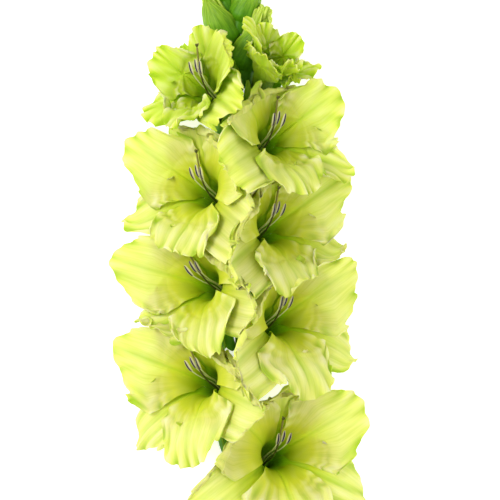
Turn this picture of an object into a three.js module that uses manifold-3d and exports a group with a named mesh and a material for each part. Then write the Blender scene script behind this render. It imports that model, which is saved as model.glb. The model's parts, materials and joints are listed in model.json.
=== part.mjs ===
// A cut gladiolus spike lying on its back: one long stem with two clasping leaves, nine florets
// in two ranks that open from the bottom up, and a tip of closed buds.
// +Y runs from the cut end to the tip, the florets face up (+Z), and the surface it lies on is z = 0.

import * as THREE from 'three';
import { mergeGeometries, mergeVertices } from 'three/addons/utils/BufferGeometryUtils.js';
import Module from 'manifold-3d';

const wasm = await Module();
wasm.setup();

// ---------------------------------------------------------------- driving dimensions, mm
const STEM_LENGTH = 770;
const STEM_BASE_RADIUS = 6.5;
const STEM_TIP_RADIUS = 1.4;
const STEM_HEIGHT = 6.5;         // axis above the surface where the florets are
const CUT_LIFT = 2;              // air under the cut end
const STEM_LEAN = 16;            // how far the tip bends to the left
const LEAN_START = 560;
const CLEARANCE = 0.4;           // air between neighbouring pieces
const TEPAL_THICKNESS = 1.1;
const TUBE_FOOT_RADIUS = 2.9;
const THROAT_RADIUS = 10;
const BRACT_THICKNESS = 0.9;
const BRACT_ROOM = 1.2;           // air between the tube and the bract that wraps it
const LEAF_THICKNESS = 1.6;
const FILAMENT_RADIUS = 0.6;
const ANTHER_RADIUS = 1.3;
const STYLE_RADIUS = 0.55;
const STIGMA_RADIUS = 1.3;
const TUBE_LIFT = 2;             // how far a tube starts above the stem's axis
const PRESS_DEPTH = 22;          // florets press each other this far above their throats
const WELD = 1e-4;               // corners closer than this are one corner
const WHORL_GAP = 1.6;           // how far each whorl stands in front of or behind the middle
const RUFFLE = 1.5;              // height of the waves along a tepal's margin
const CROWDING = 4;              // depth over which a tepal bends back before its neighbour
const SHINGLE = 0.55;            // how far an upper floret's lip lies over the floret below
const ACROSS_SHINGLE = 0.3;      // and its share between the two ranks

// Florets from the bottom up: node along the stem, throat (out to its side, along, up), the turn of
// its face to the side and towards the tip, its roll, its tepals' length, and how far it has opened.
const FLORETS = [
  { side: 1, node: 290, throat: [24, 334, 30], swing: 24, lift: 12, roll: 0, reach: 86, open: 1 },
  { side: -1, node: 347, throat: [20, 392, 30], swing: 37, lift: 14, roll: 14, reach: 84, open: 1 },
  { side: 1, node: 396, throat: [22, 440, 30], swing: 37, lift: 18, roll: 0, reach: 82, open: 1 },
  { side: -1, node: 430, throat: [18, 470, 30], swing: 39, lift: 12, roll: 20, reach: 84, open: 1 },
  { side: 1, node: 472, throat: [16, 514, 30], swing: 37, lift: 18, roll: 0, reach: 80, open: 1 },
  { side: -1, node: 504, throat: [20, 543, 30], swing: 37, lift: 18, roll: 0, reach: 80, open: 1 },
  { side: 1, node: 545, throat: [18, 584, 32], swing: 34, lift: 22, roll: 0, reach: 72, open: 0.85 },
  { side: -1, node: 590, throat: [22, 625, 30], swing: 37, lift: 24, roll: 0, reach: 54, open: 0.8 },
  { side: 1, node: 612, throat: [20, 640, 30], swing: 36, lift: 46, roll: 0, reach: 40, open: 0.5 },
];
const UNOPENED = 1;              // the last floret hides its stamens and style

// Tepals round the throat: azimuth from the one next to the tip, whorl (+1 inner, -1 outer),
// flare at the middle and at the tip (degrees from the floret's axis), length and width shares.
const TEPALS = [
  { azimuth: 0, whorl: -1, mid: 52, tip: 60, length: 1.0, width: 0.92 },
  { azimuth: 60, whorl: 1, mid: 48, tip: 74, length: 1.0, width: 0.92 },
  { azimuth: 120, whorl: -1, mid: 84, tip: 112, length: 1.0, width: 0.78 },
  { azimuth: 180, whorl: 1, mid: 62, tip: 98, length: 0.92, width: 0.74 },
  { azimuth: 240, whorl: -1, mid: 74, tip: 112, length: 1.14, width: 0.9 },
  { azimuth: 300, whorl: 1, mid: 60, tip: 104, length: 1.12, width: 0.94 },
];

// Closed buds above the florets: node along the stem, length and greatest radius.
const BUDS = [
  { side: -1, node: 628, length: 56, radius: 8.8 },
  { side: 1, node: 649, length: 52, radius: 8.2 },
  { side: -1, node: 670, length: 48, radius: 7.2 },
  { side: 1, node: 689, length: 43, radius: 6.4 },
  { side: -1, node: 706, length: 40, radius: 5.8 },
  { side: 1, node: 724, length: 34, radius: 4.8 },
];
const TIP_BUD = { length: 30, radius: 4 };

// Stem leaves: where each starts, its length and width, and which way it falls.
const LEAVES = [
  { side: -1, start: 36, length: 215, width: 30 },
  { side: 1, start: 128, length: 150, width: 24 },
];

// ---------------------------------------------------------------- small helpers
const rad = THREE.MathUtils.degToRad;
const mix = THREE.MathUtils.lerp;
const unit = (x) => THREE.MathUtils.clamp(x, 0, 1);
const smooth = (from, to, x) => THREE.MathUtils.smoothstep(x, from, to);
const vec = (x, y, z) => new THREE.Vector3(x, y, z);
const along = (origin, ...pairs) => {
  const p = origin.clone();
  for (const [direction, amount] of pairs) p.addScaledVector(direction, amount);
  return p;
};

function signedVolume(geometry) {
  const p = geometry.attributes.position;
  const index = geometry.index.array;
  const [a, b, c] = [vec(), vec(), vec()];
  let sum = 0;
  for (let i = 0; i < index.length; i += 3) {
    a.fromBufferAttribute(p, index[i]);
    b.fromBufferAttribute(p, index[i + 1]);
    c.fromBufferAttribute(p, index[i + 2]);
    sum += a.dot(b.cross(c)) / 6;
  }
  return sum;
}

// Turns every face of a geometry round.
function turnRound(geometry) {
  const index = geometry.index.array;
  for (let i = 0; i < index.length; i += 3) [index[i], index[i + 1]] = [index[i + 1], index[i]];
}

// Moves every corner of a closed geometry by a formula, and keeps its faces pointing out.
function bend(geometry, place) {
  geometry.deleteAttribute('normal');
  geometry.deleteAttribute('uv');
  const shape = mergeVertices(geometry, WELD);
  const p = shape.attributes.position;
  for (let i = 0; i < p.count; i += 1) {
    const q = place(p.getX(i), p.getY(i), p.getZ(i));
    p.setXYZ(i, q.x, q.y, q.z);
  }
  if (signedVolume(shape) < 0) turnRound(shape);
  return shape;
}

function toSolid(geometry) {
  const vertProperties = new Float32Array(geometry.attributes.position.array);
  const triVerts = new Uint32Array(geometry.index.array);
  return new wasm.Manifold(new wasm.Mesh({ numProp: 3, vertProperties, triVerts }));
}

function fromSolid(solid) {
  const mesh = solid.getMesh();
  const geometry = new THREE.BufferGeometry();
  geometry.setAttribute('position', new THREE.BufferAttribute(new Float32Array(mesh.vertProperties), 3));
  geometry.setIndex(new THREE.BufferAttribute(new Uint32Array(mesh.triVerts), 1));
  return geometry;
}

// A rectangular patch of a surface: place(u, t) with u from -1 to 1 and t from 0 to 1. The two
// faces of one wall are split into triangles alike, so that they never cross each other.
function patch(columns, rows, place, facesBack = false) {
  const geometry = new THREE.PlaneGeometry(2, 1, columns, rows);
  const p = geometry.attributes.position;
  for (let i = 0; i < p.count; i += 1) {
    const q = place(p.getX(i), p.getY(i) + 0.5);
    p.setXYZ(i, q.x, q.y, q.z);
  }
  if (facesBack) turnRound(geometry);
  return geometry;
}

// Joins patches whose edges meet into one closed body with its faces pointing out.
function closeBody(patches) {
  return bend(mergeGeometries(patches), (x, y, z) => vec(x, y, z));
}

// A turned profile of [radius, share of the way] pairs, bent along a curve with a known side.
function turned(profile, sides, frameAt) {
  const points = profile.map(([radius, share]) => new THREE.Vector2(radius, share));
  return bend(new THREE.LatheGeometry(points, sides), (x, share, z) => {
    const f = frameAt(share);
    return along(f.centre, [f.a, x], [f.b, z]);
  });
}

// A frame along a three.js curve: its side direction stays as near as it can to a given one.
function frameOn(curve, sideHint) {
  return (share) => {
    const centre = curve.getPoint(unit(share));
    const tangent = curve.getTangent(unit(share));
    const a = along(sideHint, [tangent, -sideHint.dot(tangent)]).normalize();
    const b = vec().crossVectors(a, tangent);
    return { centre, a, b, tangent };
  };
}

// A thin sheet of even thickness: surface(u, t) with u from -1 to 1 and t from 0 to 1.
function sheet(surface, columns, rows, thickness) {
  const step = 1e-3;
  return bend(new THREE.BoxGeometry(2, 1, 1, columns, rows, 1), (u, y, face) => {
    const t = y + 0.5;
    const across = surface(u + step, t).sub(surface(u - step, t));
    const up = surface(u, t + step).sub(surface(u, t - step));
    const normal = across.cross(up).normalize();
    return along(surface(u, t), [normal, face * thickness]);
  });
}

// ---------------------------------------------------------------- stem
const stemRadius = (y) => mix(STEM_BASE_RADIUS, STEM_TIP_RADIUS, smooth(0, STEM_LENGTH * 1.15, y) ** 0.9);
const stemX = (y) => -STEM_LEAN * smooth(LEAN_START, STEM_LENGTH * 1.12, y);
const stemZ = (y) => mix(STEM_BASE_RADIUS + CUT_LIFT, STEM_HEIGHT, smooth(60, 320, y));

function stem() {
  const rows = 22;
  const profile = [[0, 0]];
  for (let i = 0; i <= rows; i += 1) profile.push([stemRadius((i / rows) * STEM_LENGTH), i / rows]);
  profile.push([0, 1]);
  return turned(profile, 12, (share) => {
    const y = share * STEM_LENGTH;
    return { centre: vec(stemX(y), y, stemZ(y)), a: vec(1, 0, 0), b: vec(0, 0, 1) };
  });
}

// ---------------------------------------------------------------- floret frames
const TUBE_BEND = 0.41;          // share of a tube's span that runs straight at each end
const GOLDEN_TURN = 2.39;        // sets the waves of each floret apart from the others
const NEIGHBOURS = 3;            // each floret meets this many of the florets above it

function floretFrame(spec, order) {
  const { side } = spec;
  const swing = rad(spec.swing);
  const lift = rad(spec.lift);
  const axis = vec(side * Math.sin(swing) * Math.cos(lift), Math.sin(lift), Math.cos(swing) * Math.cos(lift));
  const up0 = along(vec(0, 1, 0), [axis, -axis.y]).normalize();
  let out0 = along(vec(side, 0, 0), [axis, -axis.x * side]);
  out0 = along(out0, [up0, -out0.dot(up0)]).normalize();
  const roll = rad(spec.roll);
  const up = along(vec(), [up0, Math.cos(roll)], [out0, Math.sin(roll)]);
  const out = along(vec(), [out0, Math.cos(roll)], [up0, -Math.sin(roll)]);
  const throat = vec(side * spec.throat[0], spec.throat[1], spec.throat[2]);
  const sheath = BRACT_ROOM + BRACT_THICKNESS * 2 + CLEARANCE;
  const stand = stemRadius(spec.node) + CLEARANCE + sheath + TUBE_FOOT_RADIUS + TEPAL_THICKNESS / 2;
  const foot = vec(stemX(spec.node) + side * stand, spec.node, stemZ(spec.node) + TUBE_LIFT);
  const span = throat.distanceTo(foot);
  const leave = vec(side * 0.15, 0.93, 0.3).normalize();
  const tube = new THREE.CubicBezierCurve3(
    foot,
    along(foot, [leave, span * TUBE_BEND]),
    along(throat, [axis, -span * TUBE_BEND]),
    throat,
  );
  const middle = along(throat, [axis, PRESS_DEPTH]);
  return { ...spec, order, axis, up, out, throat, tube, middle, seed: order * GOLDEN_TURN, walls: [] };
}

const florets = FLORETS.map(floretFrame);

// Neighbouring florets press against each other along a gently waved wall between their throats.
for (let i = 0; i < florets.length; i += 1) {
  for (let j = i + 1; j <= Math.min(i + NEIGHBOURS, florets.length - 1); j += 1) {
    const [low, high] = [florets[i], florets[j]];
    const apart = high.middle.clone().sub(low.middle);
    const tilt = SHINGLE * apart.length() * (low.side === high.side ? 1 : ACROSS_SHINGLE);
    const normal = along(apart, [vec(0, 0, 1), tilt]).normalize();
    const share = low.reach / (low.reach + high.reach);
    const offset = normal.dot(along(low.middle, [apart, share]));
    low.walls.push({ normal, offset, facing: 1, phase: i + j });
    high.walls.push({ normal: normal.clone().negate(), offset: -offset, facing: -1, phase: i + j });
  }
}

// The surface under the spike holds the tepals up like one more neighbour.
for (const floret of florets) {
  floret.walls.push({ normal: vec(0, 0, -1), offset: 0, facing: 0, phase: 0 });
}

const WALL_WAVES = [
  { height: 1.8, run: vec(0, 0.13, 0.09), turn: 2.1 },
  { height: 1.2, run: vec(0.17, 0, -0.12), turn: 1.3 },
];

function wave(p, phase) {
  return WALL_WAVES.reduce((sum, w) => sum + w.height * Math.sin(w.run.dot(p) + phase * w.turn), 0);
}

function keepToItsSide(floret, point) {
  const p = point.clone();
  const room = TEPAL_THICKNESS / 2 + CLEARANCE + WHORL_GAP + RUFFLE;
  for (let pass = 0; pass < 2; pass += 1) {
    for (const wall of floret.walls) {
      const past = wall.normal.dot(p) - wall.offset - wave(p, wall.phase) * wall.facing + room;
      if (past > -6 * CROWDING) {
        const held = -CROWDING * Math.log1p(Math.exp(-past / CROWDING));
        p.addScaledVector(wall.normal, held - past);
      }
    }
  }
  return p;
}

// ---------------------------------------------------------------- perianth
const SECTOR = Math.PI / 3;      // each of the six tepals' share of the round tube
const MOST_WRAP = rad(54);       // a tepal never reaches the next one of its own whorl
const TIP_ROUNDING = 0.34;       // how much shorter a tepal is at its side margins
const TIP_NARROWING = 0.12;
const RUFFLE_WAVES = 5.5;        // waves round the margin of a tepal
const TEPAL_TURN = 1.7;          // sets the waves of each tepal apart from the others
const TUBE_FLARE = 18;
const PROFILE_STEPS = 60;

function tubeRadius(v) {
  return mix(TUBE_FOOT_RADIUS, THROAT_RADIUS, unit(v) ** 1.5);
}

function tubeFrame(floret) {
  return frameOn(floret.tube, floret.up);
}

function tubePoint(floret, azimuth, v, thicker = 0) {
  const f = tubeFrame(floret)(v);
  const b = f.b.dot(floret.out) < 0 ? f.b.clone().negate() : f.b;
  const r = tubeRadius(v) + thicker;
  return along(f.centre, [f.a, Math.cos(azimuth) * r], [b, Math.sin(azimuth) * r]);
}

// The middle line of a tepal, as distance from the axis, height above the throat and flare.
function tepalProfile(floret, tepal) {
  const length = floret.reach * tepal.length;
  const table = [{ rho: THROAT_RADIUS, h: 0, flare: rad(TUBE_FLARE) }];
  let [rho, h] = [THROAT_RADIUS, 0];
  for (let i = 0; i < PROFILE_STEPS; i += 1) {
    const t = (i + 0.5) / PROFILE_STEPS;
    const open = mix(TUBE_FLARE, tepal.mid * floret.open, smooth(0, 0.45, t));
    const flare = rad(mix(open, tepal.tip * floret.open, smooth(0.55, 1, t)));
    rho += (Math.sin(flare) * length) / PROFILE_STEPS;
    h += (Math.cos(flare) * length) / PROFILE_STEPS;
    table.push({ rho, h, flare });
  }
  return table;
}

// The flower's mouth is one smooth bell: between the middle lines of two tepals it blends from
// one to the other, so that neighbouring tepals lie on the same surface where they overlap.
function mouth(floret) {
  const tables = TEPALS.map((tepal) => tepalProfile(floret, tepal));
  const read = (table, share) => {
    const i = Math.min(Math.floor(share * PROFILE_STEPS), PROFILE_STEPS - 1);
    const k = share * PROFILE_STEPS - i;
    return [mix(table[i].rho, table[i + 1].rho, k), mix(table[i].h, table[i + 1].h, k)];
  };
  return (azimuth, share) => {
    const turn = THREE.MathUtils.euclideanModulo(azimuth / SECTOR, TEPALS.length);
    const i = Math.floor(turn);
    const near = read(tables[i], share);
    const far = read(tables[(i + 1) % TEPALS.length], share);
    const k = smooth(0, 1, turn - i);
    const radial = along(vec(), [floret.up, Math.cos(azimuth)], [floret.out, Math.sin(azimuth)]);
    const [rho, h] = [mix(near[0], far[0], k), mix(near[1], far[1], k)];
    return { rho, point: along(floret.throat, [radial, rho], [floret.axis, h]) };
  };
}

// The middle surface of a tepal, pressed by its neighbours, before its whorl sets it in or out.
function tepalSurface(floret, tepal) {
  const azimuth = rad(tepal.azimuth);
  const bell = mouth(floret);
  const rootWidth = THROAT_RADIUS * SECTOR;
  const fullWidth = floret.reach * tepal.width;
  return (u, t) => {
    const short = TIP_ROUNDING * u ** 2 * unit(t) ** 0.8;
    const grow = smooth(0, 0.62, unit(t) ** 0.85);
    const width = mix(rootWidth, fullWidth, grow) * (1 - TIP_NARROWING * smooth(0.62, 1, t));
    const share = unit(t * (1 - short));
    const wrap = Math.min(width / 2 / bell(azimuth, share).rho, MOST_WRAP);
    return keepToItsSide(floret, bell(azimuth + u * wrap, share).point);
  };
}

// How far a tepal stands in front of the middle surface (inner whorl) or behind it (outer whorl).
function whorlLift(floret, tepal, number, u, t) {
  const margin = Math.max(Math.abs(u) ** 2.5 * smooth(0.1, 0.6, t), smooth(0.7, 1, t) ** 2);
  const round = Math.atan2(u, (t - 0.45) * 1.7);
  const phase = (floret.seed + number * TEPAL_TURN) * 2.3;
  const ruffle = RUFFLE * margin * (1 + Math.sin(RUFFLE_WAVES * round + phase)) / 2;
  return tepal.whorl * (WHORL_GAP * smooth(0, 0.2, t) + ruffle);
}

const TUBE_FLOOR = 0.3;          // how far up the tube its hollow starts
const TUBE_ROWS = 3;
const BLADE_COLUMNS = 4;
const BLADE_ROWS = 4;
const ROOT = TUBE_ROWS / (TUBE_ROWS + BLADE_ROWS);

// One tepal from the tube's foot to its tip, as a wall with an outer (-1) and an inner (+1) face.
function tepalWall(floret, tepal, number) {
  const blade = tepalSurface(floret, tepal);
  const azimuth = rad(tepal.azimuth);
  const step = 1e-3;
  return (u, r, face) => {
    const half = (face * TEPAL_THICKNESS) / 2;
    if (r <= ROOT + 1e-6) {
      const v = face < 0 ? r / ROOT : mix(TUBE_FLOOR, 1, r / ROOT);
      return tubePoint(floret, azimuth + (u * SECTOR) / 2, v, -half);
    }
    const t = (r - ROOT) / (1 - ROOT);
    const across = blade(u + step, t).sub(blade(u - step, t));
    const up = blade(u, t + step).sub(blade(u, t - step));
    const normal = across.cross(up).normalize().multiplyScalar(floret.side);
    return along(blade(u, t), [normal, half + whorlLift(floret, tepal, number, u, t)]);
  };
}

// The whole flower is grown as one piece: a tube that splits into six tepals.
function perianth(floret) {
  const rows = TUBE_ROWS + BLADE_ROWS;
  const patches = [];
  TEPALS.forEach((tepal, number) => {
    const wall = tepalWall(floret, tepal, number);
    const bladeShare = (t) => mix(ROOT, 1, t);
    patches.push(patch(BLADE_COLUMNS, rows, (u, r) => wall(u, r, -1)));
    patches.push(patch(BLADE_COLUMNS, rows, (u, r) => wall(u, r, 1), true));
    patches.push(patch(1, BLADE_ROWS, (w, t) => wall(1, bladeShare(t), w)));
    patches.push(patch(1, BLADE_ROWS, (w, t) => wall(-1, bladeShare(t), w), true));
    patches.push(patch(BLADE_COLUMNS, 1, (u, w) => wall(u, 1, w * 2 - 1)));
    for (const face of [-1, 1]) {
      patches.push(patch(BLADE_COLUMNS, 1, (u, w) => {
        const foot = wall(u, 0, face);
        return foot.lerp(tubeFrame(floret)(face < 0 ? 0 : TUBE_FLOOR).centre, 1 - w);
      }, face > 0));
    }
  });
  return closeBody(patches);
}

// ---------------------------------------------------------------- bracts
const tubeOuter = (v) => tubeRadius(v) + TEPAL_THICKNESS / 2;

// The width of a bract, as a share of its greatest width.
const pointed = (t) => 1 - unit(t) ** 2.4 * 0.92;

// A bract is a pointed half sheath round the tube; layer 0 lies on the tube, layer 1 over that.
function bract(floret, layer, away, wrap, length) {
  const frameAt = tubeFrame(floret);
  const stand = BRACT_ROOM + CLEARANCE * layer + BRACT_THICKNESS * (layer + 0.5);
  return sheet((u, t) => {
    const v = t * length;
    const f = frameAt(v);
    const middle = Math.atan2(away.dot(f.b), away.dot(f.a));
    const angle = middle + (rad(wrap) / 2) * u * pointed(t);
    const r = tubeOuter(v) + stand;
    return along(f.centre, [f.a, Math.cos(angle) * r], [f.b, Math.sin(angle) * r]);
  }, 4, 4, BRACT_THICKNESS);
}

const outerBract = (floret) => bract(floret, 1, vec(floret.side, 0.1, -0.5), 200, 0.72);
const innerBract = (floret) => bract(floret, 0, vec(-floret.side, 0.1, 0.7), 170, 0.58);

// ---------------------------------------------------------------- stamens and style
const COLLAR = { share: 0.42, radius: 2.4, height: 1.0 };
const TUBE_MARK = 0.72;          // threads pass this share of the tube on their way up
// Heights above the throat, towards the tip and aside: each thread leans to the hood.
const FILAMENT_PATH = [[0, 2, 2.2], [14, 4, 3.2], [26, 8, 4.5], [33, 15, 5.5]];
const STYLE_PATH = [[0, -2.2, 0], [14, 1, -1.8], [26, 9, -2.7], [38, 25, -3]];

// A point given by heights above the throat along the floret's axis, towards the tip and aside.
const inThroat = (floret, rise, upward, aside) => along(
  floret.throat, [floret.axis, rise], [floret.up, upward], [floret.out, aside],
);

function thread(floret, start, points, profile, sides) {
  const curve = new THREE.CatmullRomCurve3([start, ...points]);
  return turned(profile, sides, frameOn(curve, floret.out));
}

function inTube(floret, share, aside, upward, raise = 0) {
  const f = tubeFrame(floret)(share);
  const b = f.b.dot(floret.out) < 0 ? f.b.clone().negate() : f.b;
  return along(f.centre, [b, aside], [f.a, upward], [f.tangent, raise]);
}

function stamens(floret) {
  const collar = turned([
    [0, 0], [COLLAR.radius, 0], [COLLAR.radius, 1], [0, 1],
  ], 8, (share) => {
    const f = tubeFrame(floret)(COLLAR.share);
    return { centre: along(f.centre, [f.tangent, share * COLLAR.height]), a: f.a, b: f.b };
  });
  let solid = toSolid(collar);
  for (const turn of [-1, 0, 1]) {
    const lean = 1 - Math.abs(turn);
    const start = inTube(floret, COLLAR.share, turn * 1.3, lean ? 1.5 : 0.9, COLLAR.height / 2);
    const points = [inTube(floret, TUBE_MARK, turn * 1.8, 1.6 + lean * 0.6)];
    for (const [rise, upward, aside] of FILAMENT_PATH) {
      points.push(inThroat(floret, rise, upward + lean * (1 + rise / 33), turn * aside));
    }
    const profile = [
      [0, 0], [FILAMENT_RADIUS, 0], [FILAMENT_RADIUS, 0.25], [FILAMENT_RADIUS, 0.5],
      [FILAMENT_RADIUS, 0.76], [ANTHER_RADIUS, 0.8], [ANTHER_RADIUS, 0.96], [0, 1],
    ];
    solid = solid.add(toSolid(thread(floret, start, points, profile, 4)));
  }
  return fromSolid(solid);
}

function style(floret) {
  const start = inTube(floret, COLLAR.share, 0, -1.4, COLLAR.height + CLEARANCE);
  const points = [
    inTube(floret, TUBE_MARK, 0, -1.6),
    ...STYLE_PATH.map((place) => inThroat(floret, ...place)),
  ];
  const profile = [
    [0, 0], [STYLE_RADIUS, 0], [STYLE_RADIUS, 0.3], [STYLE_RADIUS, 0.6],
    [STYLE_RADIUS, 0.92], [STIGMA_RADIUS, 0.97], [0, 1],
  ];
  return thread(floret, start, points, profile, 5);
}

// ---------------------------------------------------------------- buds at the tip
const BUD_SPREAD = 0.42;         // how far a bud leans out from the stem
const BUD_BRACT_LENGTH = 0.8;    // share of the bud that its bract covers
const BUD_BRACT_WRAP = 230;      // degrees

function budFrame(bud) {
  const stand = stemRadius(bud.node) + BRACT_THICKNESS + CLEARANCE * 2 + bud.radius * 0.35;
  const foot = vec(stemX(bud.node) + bud.side * stand, bud.node, stemZ(bud.node));
  const end = along(foot, [vec(bud.side * BUD_SPREAD, 1, 0.12), bud.length]);
  const belly = along(foot, [vec(bud.side * BUD_SPREAD * 0.86, 1, 0.12), bud.length * 0.45]);
  return frameOn(new THREE.QuadraticBezierCurve3(foot, belly, end), vec(bud.side, 0, 0));
}

const budRadius = (bud, v) => bud.radius * (0.35 + 0.65 * Math.sin(Math.PI * unit(v * 1.1) ** 0.8))
  * (1 - smooth(0.8, 1.05, v));

function budBody(bud, frameAt) {
  const profile = [[0, 0]];
  for (const v of [0, 0.2, 0.42, 0.64, 0.82, 0.94]) profile.push([budRadius(bud, v), v]);
  profile.push([0, 1]);
  return turned(profile, 8, frameAt);
}

function budBract(bud, frameAt) {
  return sheet((u, t) => {
    const v = t * BUD_BRACT_LENGTH;
    const f = frameAt(v);
    const angle = (rad(BUD_BRACT_WRAP) / 2) * u * pointed(t);
    const r = budRadius(bud, v) * 1.04 + BRACT_ROOM + BRACT_THICKNESS / 2;
    return along(f.centre, [f.a, Math.cos(angle) * r], [f.b, Math.sin(angle) * r]);
  }, 4, 4, BRACT_THICKNESS);
}

function tipBud() {
  const y = STEM_LENGTH + CLEARANCE;
  const foot = vec(stemX(y), y, stemZ(y));
  const end = along(foot, [vec(-0.1, 1, 0.05), TIP_BUD.length]);
  const frameAt = frameOn(new THREE.LineCurve3(foot, end), vec(1, 0, 0));
  return budBody({ radius: TIP_BUD.radius }, frameAt);
}

// ---------------------------------------------------------------- stem leaves
// Each leaf clasps the stem at its foot, then opens flat and falls to the surface at its side.
const LEAF_CAMBER = 60;          // radius across an opened leaf
const LEAF_FALL = 46;            // how far the tip lies from the stem
const LEAF_CLASP_TURN = 26;      // which way its face looks at its foot, degrees above sideways
const LEAF_FLAT_TURN = 88;       // and where it lies flat

function leaf({ side, start, length, width }) {
  const clasp = stemRadius(start) + CLEARANCE + LEAF_THICKNESS / 2;
  const faceAt = (t) => rad(mix(LEAF_CLASP_TURN, LEAF_FLAT_TURN, smooth(0.15, 0.6, t)));
  return sheet((u, t) => {
    const y = start + t * length;
    const open = smooth(0.1, 0.5, t);
    const away = smooth(0.08, 1, t);
    const outward = vec(side * Math.cos(faceAt(t)), 0, Math.sin(faceAt(t)));
    const across = vec(-side * Math.sin(faceAt(t)), 0, Math.cos(faceAt(t)));
    const reach = mix(Math.PI * clasp * 1.1, width, open) * (1 - unit(t) ** 3 * 0.94);
    const s = (u * reach) / 2;
    const curl = mix(1 / clasp, 1 / LEAF_CAMBER, open);
    const sag = (1 - Math.cos(curl * s)) / curl;
    const x = stemX(y) + side * mix(clasp * Math.cos(faceAt(0)), LEAF_FALL, away);
    const z = mix(stemZ(y) + clasp * Math.sin(faceAt(0)), LEAF_THICKNESS, smooth(0.45, 1, t));
    return along(vec(x, y, z), [outward, -sag], [across, Math.sin(curl * s) / curl]);
  }, 6, 10, LEAF_THICKNESS);
}

// ---------------------------------------------------------------- assembly
const group = new THREE.Group();
const palette = {
  stem: { color: 0x5f8f1c, roughness: 0.55 },
  leaf: { color: 0x4f7f1a, roughness: 0.5 },
  bract: { color: 0x4e8f0e, roughness: 0.5 },
  bud: { color: 0x9cc42c, roughness: 0.5 },
  tepal: { color: 0xc8d830, roughness: 0.5 },
  stamen: { color: 0xe6e2b4, roughness: 0.6 },
  style: { color: 0x8d9a3c, roughness: 0.5 },
};

function place(name, geometry, finish) {
  const material = new THREE.MeshStandardMaterial({ ...palette[finish], metalness: 0 });
  const mesh = new THREE.Mesh(geometry, material);
  mesh.name = name;
  group.add(mesh);
}

place('stem', stem(), 'stem');
LEAVES.forEach((spec, i) => place(`stem_leaf_${i + 1}`, leaf(spec), 'leaf'));
for (const floret of florets) {
  const name = `floret_${floret.order + 1}`;
  place(`${name}_perianth`, perianth(floret), 'tepal');
  place(`${name}_outer_bract`, outerBract(floret), 'bract');
  place(`${name}_inner_bract`, innerBract(floret), 'bract');
  if (floret.order < florets.length - UNOPENED) {
    place(`${name}_stamens`, stamens(floret), 'stamen');
    place(`${name}_style`, style(floret), 'style');
  }
}
BUDS.forEach((bud, i) => {
  const frameAt = budFrame(bud);
  place(`bud_${i + 1}`, budBody(bud, frameAt), 'bud');
  place(`bud_${i + 1}_bract`, budBract(bud, frameAt), 'bract');
});
place('tip_bud', tipBud(), 'bud');

// The origin is at the middle of the bottom of the whole spike's box.
const box = new THREE.Box3().setFromObject(group);
const middle = box.getCenter(vec());
group.position.set(-middle.x, -middle.y, -box.min.z);

export default group;
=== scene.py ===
# %% [markdown]
# # A cut gladiolus spike, laid on its back
# The spike has one stem, two clasping leaves, nine florets in two ranks and a tip of closed buds.
# A fixed frame gives the size and place of every part, and this lesson puts the fine surfaces on
# it: thin ruffled tepals, veined bracts, stamens, styles and a fibrous stem.

# %% Load the frame and keep its size
import json
import math

import bmesh
import bpy
import numpy as np
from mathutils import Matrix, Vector

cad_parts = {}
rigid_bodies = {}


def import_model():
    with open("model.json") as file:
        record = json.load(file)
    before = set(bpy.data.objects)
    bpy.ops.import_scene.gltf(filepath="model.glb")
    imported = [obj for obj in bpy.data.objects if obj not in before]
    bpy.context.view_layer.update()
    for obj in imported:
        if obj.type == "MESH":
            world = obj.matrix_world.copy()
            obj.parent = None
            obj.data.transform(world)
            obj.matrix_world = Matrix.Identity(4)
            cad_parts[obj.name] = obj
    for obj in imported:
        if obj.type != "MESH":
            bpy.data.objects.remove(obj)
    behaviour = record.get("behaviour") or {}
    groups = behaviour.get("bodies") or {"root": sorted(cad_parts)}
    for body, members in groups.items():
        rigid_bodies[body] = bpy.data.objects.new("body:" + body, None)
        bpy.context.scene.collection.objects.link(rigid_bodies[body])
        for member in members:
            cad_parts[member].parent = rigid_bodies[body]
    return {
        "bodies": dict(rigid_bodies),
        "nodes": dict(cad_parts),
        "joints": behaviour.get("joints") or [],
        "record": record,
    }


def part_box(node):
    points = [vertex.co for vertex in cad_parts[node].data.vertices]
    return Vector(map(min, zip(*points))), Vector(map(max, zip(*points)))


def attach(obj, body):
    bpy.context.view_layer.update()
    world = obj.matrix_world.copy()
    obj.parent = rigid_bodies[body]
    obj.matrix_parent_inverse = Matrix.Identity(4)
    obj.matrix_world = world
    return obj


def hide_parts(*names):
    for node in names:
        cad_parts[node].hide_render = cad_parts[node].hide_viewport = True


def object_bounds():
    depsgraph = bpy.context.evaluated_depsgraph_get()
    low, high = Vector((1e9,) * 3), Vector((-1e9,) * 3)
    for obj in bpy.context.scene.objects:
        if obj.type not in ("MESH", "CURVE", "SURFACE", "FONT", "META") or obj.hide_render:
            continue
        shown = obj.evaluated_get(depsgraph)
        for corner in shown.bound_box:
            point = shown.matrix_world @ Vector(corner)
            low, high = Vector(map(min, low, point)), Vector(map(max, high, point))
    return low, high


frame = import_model()
frame_size = [list(corner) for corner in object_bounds()]
MM = 0.001
print("frame holds", len(frame["nodes"]), "parts, box", frame_size)

# %% [markdown]
# A spike grows along one line, its stem, so everything here is placed from the stem's own box.
# Its cut end is the zero point of all later sums, which are in millimetres.

# %% Find the stem's cut end
STEM_BASE_RADIUS = 6.5
STEM_LIFT_AT_CUT = 2

stem_low, stem_high = [np.array(corner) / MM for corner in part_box("stem")]
ORIGIN = np.array([
    stem_high[0] - STEM_BASE_RADIUS,
    stem_low[1],
    stem_high[2] - 2 * STEM_BASE_RADIUS - STEM_LIFT_AT_CUT,
])
print("stem axis starts at", ORIGIN.round(1), "mm")

# %% [markdown]
# The camera hangs straight above the spike, because the spike lies down and is seen from its
# front. A long lens from far away keeps the florets from looking stretched.

# %% Hang the camera above the florets
VIEW_WIDTH = 0.400
VIEW_DISTANCE = 1.5
MIDDLE_ALONG = 501
MIDDLE_ASIDE = 8
PETAL_LEVEL = 0.05

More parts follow.
